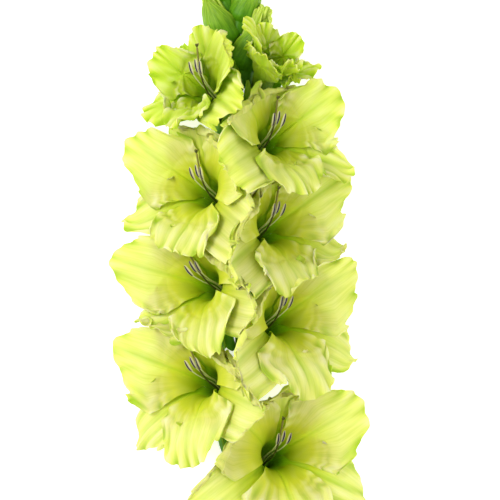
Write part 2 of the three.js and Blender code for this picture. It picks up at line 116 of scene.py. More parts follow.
camera_data = bpy.data.cameras.new("camera_above")
camera_data.lens = camera_data.sensor_width * VIEW_DISTANCE / VIEW_WIDTH
camera = bpy.data.objects.new("camera_above", camera_data)
camera.location = (
    (ORIGIN[0] + MIDDLE_ASIDE) * MM,
    (ORIGIN[1] + MIDDLE_ALONG) * MM,
    PETAL_LEVEL + VIEW_DISTANCE,
)
bpy.context.scene.collection.objects.link(camera)
bpy.context.scene.camera = camera
print("camera at", [round(v, 3) for v in camera.location], "lens", round(camera_data.lens, 1))

# %% [markdown]
# A colour is easiest to name by its hex code, as on a paint chart. Blender mixes light in linear
# numbers, so one function turns the codes into those, and one more fills the inputs of a node.

# %% Colours and inputs
def colour(code):
    """A linear colour from an sRGB hex code."""
    channels = [int(code[i:i + 2], 16) / 255 for i in (1, 3, 5)]
    return tuple(c / 12.92 if c <= 0.04045 else ((c + 0.055) / 1.055) ** 2.4 for c in channels) + (1,)


def fill_inputs(tree, node, inputs):
    """Gives each input its number, its colour code or the socket that feeds it."""
    for key, value in inputs.items():
        if isinstance(value, bpy.types.NodeSocket):
            tree.links.new(value, node.inputs[key])
        else:
            node.inputs[key].default_value = colour(value) if isinstance(value, str) else value


# %% [markdown]
# The studio is a plain white floor under a large soft key light from the upper left, a weaker
# fill from the right and a bright even sky. Thin tepals glow when light comes from more than one
# side, so no light is hard.

# %% Lay the floor
FLOOR_SIZE = 8

bpy.ops.mesh.primitive_plane_add(size=FLOOR_SIZE)
floor = bpy.context.object
floor.name = "studio_floor"
# Matt white paper with a little light of its own: it stays clean white and keeps shadows soft.
floor_paint = bpy.data.materials.new("white_studio_paper")
floor_paint.use_nodes = True
paper = floor_paint.node_tree
fill_inputs(paper, paper.nodes["Principled BSDF"], {
    "Base Color": "#F9F9F9", "Roughness": 0.9, "Emission Color": "#FFFFFF", "Emission Strength": 0.6,
})
floor.data.materials.append(floor_paint)
print("floor", FLOOR_SIZE, "m wide")


# %% Hang the lights
def soft_light(name, place, size, power):
    """An area light that looks at the middle of the florets."""
    data = bpy.data.lights.new(name, "AREA")
    data.size = size
    data.energy = power
    lamp = bpy.data.objects.new(name, data)
    target = Vector((camera.location.x, camera.location.y, PETAL_LEVEL))
    lamp.location = target + Vector(place)
    lamp.rotation_euler = (target - lamp.location).to_track_quat("-Z", "Y").to_euler()
    bpy.context.scene.collection.objects.link(lamp)
    print(name, power, "W from", place)


soft_light("key_light", place=(-0.8, 0.35, 1.15), size=0.6, power=13.5)
soft_light("fill_light", place=(1.0, -0.6, 1.0), size=1.0, power=7)
world = bpy.data.worlds.new("studio_sky")
bpy.context.scene.world = world
world.use_nodes = True
sky = world.node_tree
fill_inputs(sky, sky.nodes["Background"], {"Color": "#FFFFFF", "Strength": 0.62})
bpy.context.scene.view_settings.view_transform = "Standard"

# %% [markdown]
# Growing things follow smooth rules, so the surfaces here are grids whose corners are moved by
# formulas. A few helpers do the sums for whole arrays at once: an eased step, a blend, unit
# vectors, and curves that give a place and a direction at each share of their length.

# %% Sums for whole arrays
def smooth(low, high, x):
    """0 below low, 1 above high, eased between them."""
    share = np.clip((np.asarray(x, float) - low) / (high - low), 0, 1)
    return share * share * (3 - 2 * share)


def mix(a, b, share):
    return a + (b - a) * share


def unit(v):
    return v / np.linalg.norm(v, axis=-1, keepdims=True)


def bezier(points, share):
    """Places and directions along a Bezier curve with any number of control points."""
    share = np.atleast_1d(share)[:, None]
    layer = [np.asarray(p, float) + 0 * share for p in points]
    while len(layer) > 2:
        layer = [mix(a, b, share) for a, b in zip(layer, layer[1:])]
    return mix(layer[0], layer[1], share), unit(layer[1] - layer[0])


def through(points, share):
    """Places and directions along a smooth curve that passes through a few points."""
    p = np.array([2 * points[0] - points[1], *points, 2 * points[-1] - points[-2]])
    x = np.clip(np.atleast_1d(share), 0, 1) * (len(points) - 1)
    i = np.minimum(x.astype(int), len(points) - 2)
    k = (x - i)[:, None]
    a, b, c, d = p[i], p[i + 1], p[i + 2], p[i + 3]
    bow, twist = 2 * a - 5 * b + 4 * c - d, 3 * b - a - 3 * c + d
    place = b + (c - a) * k / 2 + bow * k**2 / 2 + twist * k**3 / 2
    return place, unit((c - a) + 2 * bow * k + 3 * twist * k**2)


def side_frame(line, side):
    """Two directions square to the line, the first as near as it can be to a given side."""
    def at(share):
        centre, ahead = line(share)
        a = unit(side - ahead * (ahead @ side)[:, None])
        return centre, a, np.cross(a, ahead), ahead
    return at


# %% [markdown]
# Every fresh surface starts as a flat grid. One helper adds a grid and moves its corners, and
# stores four numbers on each corner for the materials: how far from the middle it is, how far along
# the piece, how deep it lies in a fold, and how ripe the tissue is. A second helper welds the
# seams, turns the faces outwards, adds a thickness where the piece is a thin sheet, and hides
# the frame's solid that the finished piece stands for.

# %% Shape a grid and finish a piece
REST_GAP = 0.6


def shape_grid(bm, columns, rows, place):
    """Adds a grid and moves its corners: place(x, y) takes arrays from -1 to 1.
    Nothing sinks into the surface that the spike lies on."""
    layer = bm.verts.layers.float_color.get("growth") or bm.verts.layers.float_color.new("growth")
    verts = bmesh.ops.create_grid(bm, x_segments=columns, y_segments=rows, size=1)["verts"]
    flat = np.array([vert.co[:2] for vert in verts])
    points, growth = place(flat[:, 0], flat[:, 1])
    growth = np.stack(np.broadcast_arrays(*growth), axis=1)
    points = points + ORIGIN
    points[:, 2] = np.maximum(points[:, 2], REST_GAP)
    for vert, point, numbers in zip(verts, points * MM, growth):
        vert.co = point
        vert[layer] = numbers


def on_ring(centre, a, b, angle, radius):
    """Points round a line, at an angle from direction a towards direction b."""
    around = a * np.cos(angle)[:, None] + b * np.sin(angle)[:, None]
    return centre + around * radius[:, None]


def roll_grid(bm, sides, rows, radius, frame, growth):
    """Rolls a grid into a closed skin round a line; its radius is 0 at both ends."""
    def place(x, y):
        angle, share = math.pi * x, (y + 1) / 2
        centre, a, b, _ = frame(share)
        return on_ring(centre, a, b, angle, radius(angle, share)), growth(angle, share)
    shape_grid(bm, sides, rows, place)


WELD = 0.00001
SHARP = math.radians(55)


def finish_piece(bm, name, node, material, thickness=None):
    """Welds the seams, makes the object and hides the solid it stands for."""
    bmesh.ops.remove_doubles(bm, verts=bm.verts, dist=WELD)
    bmesh.ops.dissolve_degenerate(bm, edges=bm.edges, dist=WELD / 10)
    bmesh.ops.recalc_face_normals(bm, faces=bm.faces)
    mesh = bpy.data.meshes.new(name)
    bm.to_mesh(mesh)
    bm.free()
    mesh.shade_smooth()
    mesh.set_sharp_from_angle(angle=SHARP)
    mesh.materials.append(material)
    piece = bpy.data.objects.new(name, mesh)
    bpy.context.scene.collection.objects.link(piece)
    if thickness:
        sheet = piece.modifiers.new("thickness", "SOLIDIFY")
        sheet.thickness = thickness * MM
        sheet.offset = 0
    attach(piece, "root")
    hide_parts(node)
    print(name, len(mesh.vertices), "corners,", len(mesh.polygons), "faces")
    return piece


# %% [markdown]
# Plant tissue is never one colour. It is thin, wet inside and slightly waxy outside, so light goes
# in, picks up the green and comes out again nearby: that is what subsurface scattering does. The
# colours run along the piece, and fibres run from its foot to its tip. Both read the numbers
# stored on the corners, so the pattern follows every curl.

# %% Add one node
def add_node(tree, kind, inputs, stops=(), **settings):
    """A node with its settings and inputs; stops are the places and colours of a ramp.
    A colour mix takes its share on input 0 and its two colours on inputs 6 and 7."""
    node = tree.nodes.new(kind)
    for key, value in settings.items():
        setattr(node, key, value)
    fill_inputs(tree, node, inputs)
    if stops:
        elements = node.color_ramp.elements
        while len(elements) < len(stops):
            elements.new(0.5)
        for element, (place, code) in zip(elements, stops):
            element.position = place
            element.color = colour(code)
    return node


# %% Patterns of plant tissue
def streaks(tree, numbers, half_width, spacing, stretch):
    """Fibres that run the length of a piece: noise stretched along it. Half the piece's width and
    the spacing of its fibres, both in mm, give their number."""
    count = round(half_width / spacing)
    across = add_node(tree, "ShaderNodeMath", {0: numbers["across"], 1: count}, operation="MULTIPLY")
    along = add_node(tree, "ShaderNodeMath", {0: numbers["along"], 1: stretch}, operation="MULTIPLY")
    place = add_node(tree, "ShaderNodeCombineXYZ", {"X": across.outputs[0], "Y": along.outputs[0]})
    noise = add_node(tree, "ShaderNodeTexNoise", {
        "Vector": place.outputs[0], "Scale": 1.0, "Detail": 2.0, "Roughness": 0.6,
    }, noise_dimensions="2D")
    return noise.outputs["Fac"]


def tint(tree, base, code, number, low, high, most):
    """Lays a colour over a base: none of it where a number is low, most of it where it is high."""
    share = add_node(tree, "ShaderNodeMapRange", {
        "Value": number, "From Min": low, "From Max": high, "To Min": 0.0, "To Max": most,
    }).outputs["Result"]
    return add_node(tree, "ShaderNodeMix", {0: share, 6: base, 7: code}, data_type="RGBA").outputs[2]


# %% A living skin
WAX_ROUGHNESS = 0.52
TISSUE_IOR = 1.4
SHEEN_LEVEL = 0.25
GLOW_DEPTH = 2.2 * MM
GLOW_TINT = (0.75, 1.0, 0.2)


def tissue(name, paint, relief, glow, roughness=WAX_ROUGHNESS):
    """A plant skin: paint(tree, numbers) gives its colour and the height of its surface."""
    material = bpy.data.materials.new(name)
    material.use_nodes = True
    tree = material.node_tree
    growth = add_node(tree, "ShaderNodeAttribute", {}, attribute_name="growth")
    parts = add_node(tree, "ShaderNodeSeparateColor", {"Color": growth.outputs["Color"]})
    painted, height = paint(tree, {
        "across": parts.outputs["Red"],
        "along": parts.outputs["Green"],
        "fold": parts.outputs["Blue"],
        "ripe": growth.outputs["Alpha"],
    })
    bump = add_node(tree, "ShaderNodeBump", {"Height": height, "Strength": 1.0, "Distance": relief})
    fill_inputs(tree, tree.nodes["Principled BSDF"], {
        "Base Color": painted, "Normal": bump.outputs["Normal"], "Roughness": roughness,
        "IOR": TISSUE_IOR, "Specular IOR Level": SHEEN_LEVEL, "Subsurface Weight": glow,
        "Subsurface Scale": GLOW_DEPTH, "Subsurface Radius": GLOW_TINT,
    })
    print("skin", name, "has", len(tree.nodes), "nodes")
    return material


# %% [markdown]
# The tepals are the six petal-like parts of the flower. They are grown together as a tube below and
# are as thin as paper, so light shines through them. The colour deepens from a pale chartreuse
# blade to a deeper green throat with painted shade over it, the folds get painted green shade, the
# ridges a painted pale highlight, and fine veins fan from the foot to the margin. Young flowers are
# greener than ripe ones.

# %% Tepal material
TEPAL_HALF_WIDTH = 39
VEIN_SPACING = 1.5
VEIN_RELIEF = 0.12 * MM
# Towards the throat both ramps darken: the throat's own deeper green with painted shade of the deep tube
# laid over it.
RIPE_TEPAL = [
    (0.0, "#7E9A2A"), (0.38, "#3A5206"), (0.50, "#5E7E0A"), (0.57, "#9CB208"), (0.68, "#CBD230"),
    (0.84, "#DFE088"), (1.0, "#DADF6C"),
]
YOUNG_TEPAL = [
    (0.0, "#6F9426"), (0.42, "#3E6406"), (0.58, "#7E9E0E"), (0.78, "#AAC41C"), (1.0, "#CDDC3C"),
]


def paint_tepal(tree, numbers):
    """Along runs from 0 at the tube's foot, past 0.5 at the throat, to 1 at the tip."""
    young, ripe = (
        add_node(tree, "ShaderNodeValToRGB", {"Fac": numbers["along"]}, stops).outputs["Color"]
        for stops in (YOUNG_TEPAL, RIPE_TEPAL)
    )
    aged = add_node(tree, "ShaderNodeMix", {0: numbers["ripe"], 6: young, 7: ripe}, data_type="RGBA")
    veins = streaks(tree, numbers, TEPAL_HALF_WIDTH, VEIN_SPACING, stretch=5)
    veined = tint(tree, aged.outputs[2], "#B4C41C", veins, 0.45, 0.7, 0.3)
    # Painted shade: the valleys of the folds, pleats and midrib are tinted a deeper green.
    painted_fold_shade = tint(tree, veined, "#93B200", numbers["fold"], 0.5, 0.0, 0.8)
    # Painted highlight: the ridges of the folds and pleats are tinted pale cream.
    return tint(tree, painted_fold_shade, "#EFEEC2", numbers["fold"], 0.5, 1.0, 0.5), veins


# A tepal is thin, wet tissue under a film of wax: it glows from within and its sheen is soft.
tepal_skin = tissue("gladiolus_tepal", paint_tepal, VEIN_RELIEF, glow=0.6)

# %% [markdown]
# The stem bows a little and thins towards the tip. Its cut end lies on the surface, and the
# thick flowers hold the rest just above it. Every floret starts from a node on this line.

# %% The stem's line
STEM_LENGTH = 770
STEM_TIP_RADIUS = 1.4
STEM_HEIGHT = 6.5
STEM_LEAN = 16
LEAN_START = 560
CLEARANCE = 0.4


def stem_radius(y):
    return mix(STEM_BASE_RADIUS, STEM_TIP_RADIUS, smooth(0, STEM_LENGTH * 1.15, y) ** 0.9)


def stem_line(y):
    x = -STEM_LEAN * smooth(LEAN_START, STEM_LENGTH * 1.12, y)
    z = mix(STEM_BASE_RADIUS + STEM_LIFT_AT_CUT, STEM_HEIGHT, smooth(60, 320, y))
    return np.stack(np.broadcast_arrays(x, y, z), axis=-1)


print("stem", STEM_LENGTH, "mm long, tip at", stem_line(STEM_LENGTH).round(1))

# %% [markdown]
# Nine florets sit in two ranks. Each one has a node on the stem, a throat out to its side, a face
# that is turned aside and towards the tip, and its own size. The lowest opens first, so the
# upper ones are smaller, greener and less open. Places are in millimetres. Swing turns a face
# aside, lift turns it towards the tip and roll turns it about itself, all in degrees. Reach is how
# long its tepals are, and open and ripe are shares.

# %% The florets' places
FLORETS = [
    dict(side=1, node=290, throat=(24, 334, 30), swing=24, lift=12, roll=0, reach=86, open=1, ripe=1),
    dict(side=-1, node=347, throat=(20, 392, 30), swing=37, lift=14, roll=14, reach=84, open=1, ripe=1),
    dict(side=1, node=396, throat=(22, 440, 30), swing=37, lift=18, roll=0, reach=82, open=1, ripe=0.95),
    dict(side=-1, node=430, throat=(18, 470, 30), swing=39, lift=12, roll=20, reach=84, open=1, ripe=0.95),
    dict(side=1, node=472, throat=(16, 514, 30), swing=37, lift=18, roll=0, reach=80, open=1, ripe=0.9),
    dict(side=-1, node=504, throat=(20, 543, 30), swing=37, lift=18, roll=0, reach=80, open=1, ripe=0.9),
    dict(side=1, node=545, throat=(18, 584, 32), swing=34, lift=22, roll=0, reach=72, open=0.85, ripe=0.7),
    dict(side=-1, node=590, throat=(22, 625, 30), swing=37, lift=24, roll=0, reach=54, open=0.8, ripe=0.25),
    dict(side=1, node=612, throat=(20, 640, 30), swing=36, lift=46, roll=0, reach=40, open=0.5, ripe=0.1),
]
TEPAL_THICKNESS = 1.1
TUBE_FOOT_RADIUS = 2.9
THROAT_RADIUS = 10
BRACT_THICKNESS = 0.9
BRACT_ROOM = 1.2
SHEATH = BRACT_ROOM + 2 * BRACT_THICKNESS + CLEARANCE
PRESS_DEPTH = 22
TUBE_BEND = 0.41
FOOT_RISE = 2
LEAVING = (0.15, 0.93, 0.3)
SEED_STEP = 2.39


def floret_frame(spec, order):
    """A floret's directions and the line of its tube."""
    side = spec["side"]
    swing, lift, roll = (math.radians(spec[key]) for key in ("swing", "lift", "roll"))
    level = math.cos(lift)
    axis = np.array([side * math.sin(swing) * level, math.sin(lift), math.cos(swing) * level])
    up = unit(np.array([0, 1, 0]) - axis * axis[1])
    out = np.array([side, 0, 0]) - axis * axis[0] * side
    out = unit(out - up * (out @ up))
    up, out = up * math.cos(roll) + out * math.sin(roll), out * math.cos(roll) - up * math.sin(roll)
    throat = np.array(spec["throat"]) * (side, 1, 1)
    stand = stem_radius(spec["node"]) + CLEARANCE + SHEATH + TUBE_FOOT_RADIUS + TEPAL_THICKNESS / 2
    foot = stem_line(spec["node"]) + (side * stand, 0, FOOT_RISE)
    bend = np.linalg.norm(throat - foot) * TUBE_BEND
    control = [foot, foot + unit(np.array(LEAVING) * (side, 1, 1)) * bend, throat - axis * bend, throat]
    return dict(
        spec, name=f"floret_{order + 1}", axis=axis, up=up, out=out, throat=throat,
        middle=throat + axis * PRESS_DEPTH, seed=order * SEED_STEP, walls=[],
        tube=side_frame(lambda share: bezier(control, share), up),
    )


florets = [floret_frame(spec, order) for order, spec in enumerate(FLORETS)]
print(len(florets), "florets, lowest throat", (florets[0]["throat"] + ORIGIN).round(1))

# %% [markdown]
# On the real spike the flowers are crowded and press each other into shape. Here each pair of
# neighbours shares a gently waved wall, and a tepal that would cross it bends back before it. The
# surface under the spike is one more wall, and so is the height that no tepal passes. This keeps
# every flower in its own space.

# %% Walls between neighbours
CROWDING = 2.0
WALL_ROOM = 0.2
SHINGLE = 0.55
SHINGLE_ACROSS = 0.165
NEIGHBOURS = 3
TOP = frame_size[1][2] / MM - ORIGIN[2]
TOP_ROOM = 3

for i, low in enumerate(florets):
    for j, high in enumerate(florets[i + 1:i + 1 + NEIGHBOURS], i + 1):
        apart = high["middle"] - low["middle"]
        tilt = np.linalg.norm(apart) * (SHINGLE if low["side"] == high["side"] else SHINGLE_ACROSS)
        normal = unit(apart + (0, 0, tilt))
        share = low["reach"] / (low["reach"] + high["reach"])
        offset = normal @ (low["middle"] + apart * share)
        low["walls"].append((normal, offset, 1, i + j))
        high["walls"].append((-normal, -offset, -1, i + j))
for floret in florets:
    floret["walls"].append((np.array([0, 0, -1.0]), 0, 0, 0))
    floret["walls"].append((np.array([0, 0, 1.0]), TOP + TOP_ROOM, 0, 0))
print("walls round each floret:", [len(floret["walls"]) for floret in florets])

# %% Keep to one's own side
WALL_WAVES = [(1.8, (0, 0.13, 0.09), 2.1), (1.2, (0.17, 0, -0.12), 1.3)]


def keep_to_its_side(floret, p):
    """Bends points back where they would pass a neighbour's gently waved wall."""
    for _ in range(2):
        for normal, offset, facing, phase in floret["walls"]:
            wave = sum(height * np.sin(p @ turns + phase * drift) for height, turns, drift in WALL_WAVES)
            past = p @ normal - offset - wave * facing + WALL_ROOM
            held = -CROWDING * np.logaddexp(0, -past / CROWDING)
            p = p + normal * (held - past)[:, None]
    return p


# %% [markdown]
# Six tepals stand round the throat in two whorls. The upper ones form a hood, the lower ones open
# into ridged lips, and the two next to the stem bend back and press against the other rank. Each
# one's middle line is drawn by a flare angle, in degrees from the flower's axis, that changes from
# the throat past the middle to the tip and curls at the very end. Whorl says on which side of the
# shared bell a tepal lies, length and width are shares of the flower's reach, round says how much
# of its corners is missing, and frill and pleat say how strong its waves are.

# %% The six tepals
BLADE = dict(curl=10, length=1, width=0.92, round=0.34, frill=1, pleat=0.35)
TEPALS = [
    dict(BLADE, azimuth=0, whorl=-1, mid=52, tip=60),
    dict(BLADE, azimuth=60, whorl=1, mid=48, tip=74, curl=16),
    dict(BLADE, azimuth=120, whorl=-1, mid=84, tip=112, length=1.04, width=0.8, round=0.48, pleat=1),
    dict(BLADE, azimuth=180, whorl=1, mid=62, tip=98, curl=20, length=0.96, width=0.86, round=0.3,
         pleat=0.8),
    dict(BLADE, azimuth=240, whorl=-1, mid=76, tip=100, curl=20, length=1.4, width=1.1, round=0.1,
         frill=0.6, pleat=0.6),
    dict(BLADE, azimuth=300, whorl=1, mid=60, tip=104, curl=70, length=1.28, width=1, round=0.16,
         frill=0.5),
]
SECTOR = math.pi / 3
TUBE_FLARE = 18
PROFILE_STEPS = 300


def middle_lines(floret):
    """Distance from the axis and height above the throat along each tepal's middle line."""
    lines = []
    steps = (np.arange(PROFILE_STEPS) + 0.5) / PROFILE_STEPS
    for tepal in TEPALS:
        flare = mix(TUBE_FLARE, tepal["mid"] * floret["open"], smooth(0, 0.45, steps))
        flare = mix(flare, tepal["tip"] * floret["open"], smooth(0.55, 1, steps))
        flare = np.radians(flare + tepal["curl"] * floret["open"] * smooth(0.72, 1, steps))
        step = floret["reach"] * tepal["length"] / PROFILE_STEPS
        rho = THROAT_RADIUS + np.append(0, np.cumsum(np.sin(flare))) * step
        lines.append((rho, np.append(0, np.cumsum(np.cos(flare))) * step))
    return np.array(lines)


def bell(floret, azimuth, share):
    """The flower's mouth is one smooth surface: it blends from one middle line to the next."""
    lines = floret["lines"]
    turn = np.mod(azimuth / SECTOR, len(TEPALS))
    i, place = turn.astype(int) % len(TEPALS), share * PROFILE_STEPS
    j = np.minimum(place.astype(int), PROFILE_STEPS - 1)
    k, across = place - j, smooth(0, 1, turn - np.floor(turn))
    near = mix(lines[i, :, j], lines[i, :, j + 1], k[:, None])
    i = (i + 1) % len(TEPALS)
    far = mix(lines[i, :, j], lines[i, :, j + 1], k[:, None])
    rho, h = mix(near, far, across[:, None]).T
    radial = np.outer(np.cos(azimuth), floret["up"]) + np.outer(np.sin(azimuth), floret["out"])
    return floret["throat"] + radial * rho[:, None] + np.outer(h, floret["axis"]), rho


for floret in florets:
    floret["lines"] = middle_lines(floret)
print("tepals open to mm from the axis:", florets[0]["lines"][:, 0, -1].round(0))

# %% [markdown]
# A tepal's margin grows longer than its blade, so it has to buckle: long waves, shorter waves on
# those, and a fine frill at the very edge. Each kind of wave has a height, dies away within a
# depth from the edge, and wanders a little so that no two stretches are alike. Pleats run along
# the blade, and a shallow midrib marks its middle.

# %% Waves of the margin
MARGIN_WAVES = [
    dict(height=3.4, depth=16, count=5.5, drift=2.3, wander=0, knots=0),
    dict(height=2.4, depth=8.5, count=14.3, drift=4.1, wander=1.3, knots=4),
    dict(height=0.8, depth=3.4, count=43, drift=1.9, wander=2, knots=9),
]
YOUNG_FRILL = 2.4
FULL_REACH = 84
RIM_DEPTH = 12
PLEAT_COUNT = 5.8
PLEAT_HEIGHT = 1.7
MIDRIB_DEPTH = 0.9
MIDRIB_WIDTH = 0.05


def margin_waves(floret, tepal, u, t, width, seed):
    """Height of the waves, how much of it is a fold, and how near the margin is."""
    to_side, to_tip = (1 - np.abs(u)) * width / 2, (1 - t) * floret["reach"] * tepal["length"]
    edge = np.minimum(to_side, to_tip) + 0.15 * np.maximum(to_side, to_tip)
    turn = np.arctan2(u, (t - 0.45) * 1.7)
    turn = turn + 0.10 * np.sin(3 * turn + seed) + 0.05 * np.sin(7 * turn + 2.1 * seed)
    frill = mix(YOUNG_FRILL, 1, floret["ripe"]) * floret["reach"] / FULL_REACH * tepal["frill"]
    frill = frill * smooth(0.12, 0.45, t)
    long, short, fine = (
        frill * wave["height"] * np.exp(-edge / wave["depth"]) * np.sin(
            wave["count"] * turn + seed * wave["drift"] + wave["wander"] * np.sin(wave["knots"] * turn))
        for wave in MARGIN_WAVES
    )
    ribs = np.sin(np.pi * u * PLEAT_COUNT + 1.7 * np.sin(2.5 * u + seed) + 0.9 * np.sin(4 * t + seed))
    ribs = ribs * (0.7 + 0.3 * np.sin(6.5 * u + 2 * seed)) * (1 + 0.25 * np.sin(5 * t + seed))
    pleats = PLEAT_HEIGHT * ribs * smooth(0.25, 0.6, t) * mix(0.45, 1, np.abs(u)) * tepal["pleat"]
    midrib = np.exp(-(u / MIDRIB_WIDTH) ** 2) * smooth(0.05, 0.3, t) * smooth(1.0, 0.75, t)
    fold = short + fine + pleats - MIDRIB_DEPTH * midrib
    return long + fold, fold, frill * np.exp(-edge / RIM_DEPTH)


# %% [markdown]
# A blade is laid on the bell that all six tepals share, one whorl just inside the other, and is
# then pressed by its neighbours. Its tip is rounded by drawing its sides short, with a ragged edge.
# The waves lift it off the bell, but not so far that one whorl breaks through the other.

# %% The blade of a tepal
MOST_WRAP = math.radians(54)
TIP_NARROWING = 0.12
WHORL_GAP = 1.6
MARGIN_LIFT = 2.6
CROSSING = 0.7
RAGS = [(0.07, 7, 1), (0.05, 17, 2), (0.03, 37, 3)]
SLOPE_STEP = 0.004
TEPAL_SEED_STEP = 1.7


def tepal_middle(floret, tepal, u, t, ragged=0.0):
    """The middle surface of a blade, pressed by its neighbours, and its width."""
    azimuth, grown = math.radians(tepal["azimuth"]), np.clip(t, 0, 1)
    short = (tepal["round"] + ragged) * np.abs(u) ** 1.6 * grown ** 0.8
    width = mix(THROAT_RADIUS * SECTOR, floret["reach"] * tepal["width"], smooth(0, 0.62, grown ** 0.85))
    width = width * (1 - TIP_NARROWING * smooth(0.62, 1, t))
    share = np.clip(t * (1 - short), 0, 1)
    _, rho = bell(floret, np.full(len(u), azimuth), share)
    wrap = np.minimum(width / 2 / rho, MOST_WRAP)
    points, _ = bell(floret, azimuth + u * wrap, share)
    return keep_to_its_side(floret, points), width


def tepal_slope(floret, tepal, u, t, du, dt):
    """How the middle surface runs from a little before a point to a little after it."""
    after, before = (tepal_middle(floret, tepal, u + k * du, t + k * dt)[0] for k in (1, -1))
    return after - before


def tepal_blade(floret, tepal, number, u, t):
    """Points of one blade, u across from -1 to 1 and t from the throat to the tip."""
    seed = floret["seed"] + number * TEPAL_SEED_STEP
    ragged = sum(size * np.sin(count * u + drift * seed) for size, count, drift in RAGS)
    points, width = tepal_middle(floret, tepal, u, t, ragged)
    across = tepal_slope(floret, tepal, u, t, SLOPE_STEP, 0)
    ahead = tepal_slope(floret, tepal, u, t, 0, SLOPE_STEP)
    normal = unit(np.cross(across, ahead)) * floret["side"]
    waves, fold, rim = margin_waves(floret, tepal, u, t, width, seed)
    whorl = tepal["whorl"]
    lift = whorl * (WHORL_GAP * smooth(0, 0.2, t) + MARGIN_LIFT * rim) + waves
    own_side = np.logaddexp(0, (whorl * lift + CROSSING) / CROSSING) * CROSSING - CROSSING
    return points + normal * (whorl * own_side)[:, None], fold


# %% [markdown]
# Below the throat the six tepals are one narrow tube. A tepal's grid therefore starts as a sixth of
# the tube and turns into its blade at the throat, so there is no seam to hide. It has more columns
# near its margins, where the frills are.

# %% From tube to blade
THROAT_MARK = 0.5
TUBE_ROWS = 10
BLADE_ROWS = 74
BLADE_COLUMNS = 58
VALLEY_DEPTH = 1.8


def dense_edges(x):
    """Moves evenly spaced corners towards -1 and 1."""
    return x * (1.25 - 0.25 * x * x)


def tube_radius(v):
    return mix(TUBE_FOOT_RADIUS, THROAT_RADIUS, np.clip(v, 0, 1) ** 1.5)


def tube_skin(floret, azimuth, v):
    """Points of the tube below the throat, at a share v of its length."""
    centre, a, b, _ = floret["tube"](v)
    b = b * np.where(b @ floret["out"] < 0, -1, 1)[:, None]
    r = tube_radius(v) * smooth(-0.001, 0.06, v) ** 0.5
    return on_ring(centre, a, b, azimuth, r)


def grow_tepal(bm, floret, tepal, number):
    """One sixth of the tube and the blade that it turns into."""
    def place(x, y):
        u = dense_edges(x)
        step = (y + 1) / 2 * (TUBE_ROWS + BLADE_ROWS)
        v = np.clip(step / TUBE_ROWS, 0, 1)
        t = np.clip((step - TUBE_ROWS) / BLADE_ROWS, 0, 1)
        t = t * (1 + 0.35 * (1 - t) * t)
        blade, fold = tepal_blade(floret, tepal, number, u, t)
        azimuth = math.radians(tepal["azimuth"]) + u * math.pi / 6
        in_tube = step < TUBE_ROWS - 0.5
        points = np.where(in_tube[:, None], tube_skin(floret, azimuth, v), blade)
        along = np.where(in_tube, v * THROAT_MARK, THROAT_MARK + t * (1 - THROAT_MARK))
        # Fold depth for the material, which paints the valleys greener as painted shade and the ridges
        # paler as a painted highlight.
        depth = np.clip(0.5 + fold / (2 * VALLEY_DEPTH), 0, 1)
        return points, (np.abs(u), along, np.where(in_tube, 0.5, depth), floret["ripe"])
    shape_grid(bm, BLADE_COLUMNS, TUBE_ROWS + BLADE_ROWS, place)


# %% [markdown]
# Each flower is now six grids in one piece. The sheets are half a millimetre thick, as a real
# tepal is, so they stand in for the thicker solids of the frame.

# %% Grow the nine flowers
SHEER = 0.5

for floret in florets:
    bm = bmesh.new()
    for number, tepal in enumerate(TEPALS):
        grow_tepal(bm, floret, tepal, number)
    node = f"{floret['name']}_perianth"
    piece = finish_piece(bm, f"{node}_fine", node, tepal_skin, SHEER)
    low, high = (np.array(corner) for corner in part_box(node))
    spots = np.array([vert.co[:] for vert in piece.data.vertices])
    past = (low - spots.min(0)) / MM, (spots.max(0) - high) / MM
    print(node, "stands out of its solid by mm", past[0].round(1), past[1].round(1))

# %% [markdown]
# Green parts share one kind of skin: fine fibres run lengthwise, a thin wax makes it satin, and
# the colour is darker at the foot and lighter at the edges. The stem is the stiffest and its cut
# face shows pale pith with a ring of darker strands. Bracts and leaves have strong parallel veins.

# %% Green skins
FIBRE_RELIEF = 0.15 * MM
STEM_GREENS = [(0.0, "#6E9A2E"), (0.3, "#5E9024"), (1.0, "#4C8416")]
CUT_FACE = [(0.0, "#DDE3B4"), (0.7, "#C8D694"), (0.85, "#7FA046"), (1.0, "#557F22")]


def paint_green(foot, body, rim, half_width, spacing, stretch):
    """Lengthwise fibres over a colour that runs from the foot to the tip and to the edges."""
    def paint(tree, numbers):
        stops = [(0.0, foot), (0.35, body), (1.0, rim)]
        base = add_node(tree, "ShaderNodeValToRGB", {"Fac": numbers["along"]}, stops).outputs["Color"]
        fibres = streaks(tree, numbers, half_width, spacing, stretch)
        veined = tint(tree, base, foot, fibres, 0.35, 0.65, 0.55)
        return tint(tree, veined, rim, numbers["across"], 0.82, 1.0, 0.6), fibres
    return paint


def paint_stem(tree, numbers):
    """The skin of the stem, and where ripe is 0 its cut face."""
    base, pith = (
        add_node(tree, "ShaderNodeValToRGB", {"Fac": numbers[key]}, stops).outputs["Color"]
        for key, stops in (("along", STEM_GREENS), ("fold", CUT_FACE))
    )
    fibres = streaks(tree, numbers, math.pi * STEM_BASE_RADIUS, spacing=0.6, stretch=6)
    skin = tint(tree, base, "#3E6E12", fibres, 0.35, 0.65, 0.5)
    cut = add_node(tree, "ShaderNodeMix", {0: numbers["ripe"], 6: pith, 7: skin}, data_type="RGBA")
    return cut.outputs[2], fibres


# A fresh-cut stem is waxy and firm: it has a tighter sheen, and little light gets in.
stem_skin = tissue("waxy_green_stem", paint_stem, FIBRE_RELIEF, glow=0.15, roughness=0.42)
# A bract is a leafy scale: it is satin, its veins show dark, and its thin rim is pale.
bract_paint = paint_green("#3E7606", "#5C980E", "#A6C636", half_width=14.4, spacing=0.9, stretch=4)
bract_skin = tissue("veined_green_bract", bract_paint, FIBRE_RELIEF, glow=0.25, roughness=0.45)
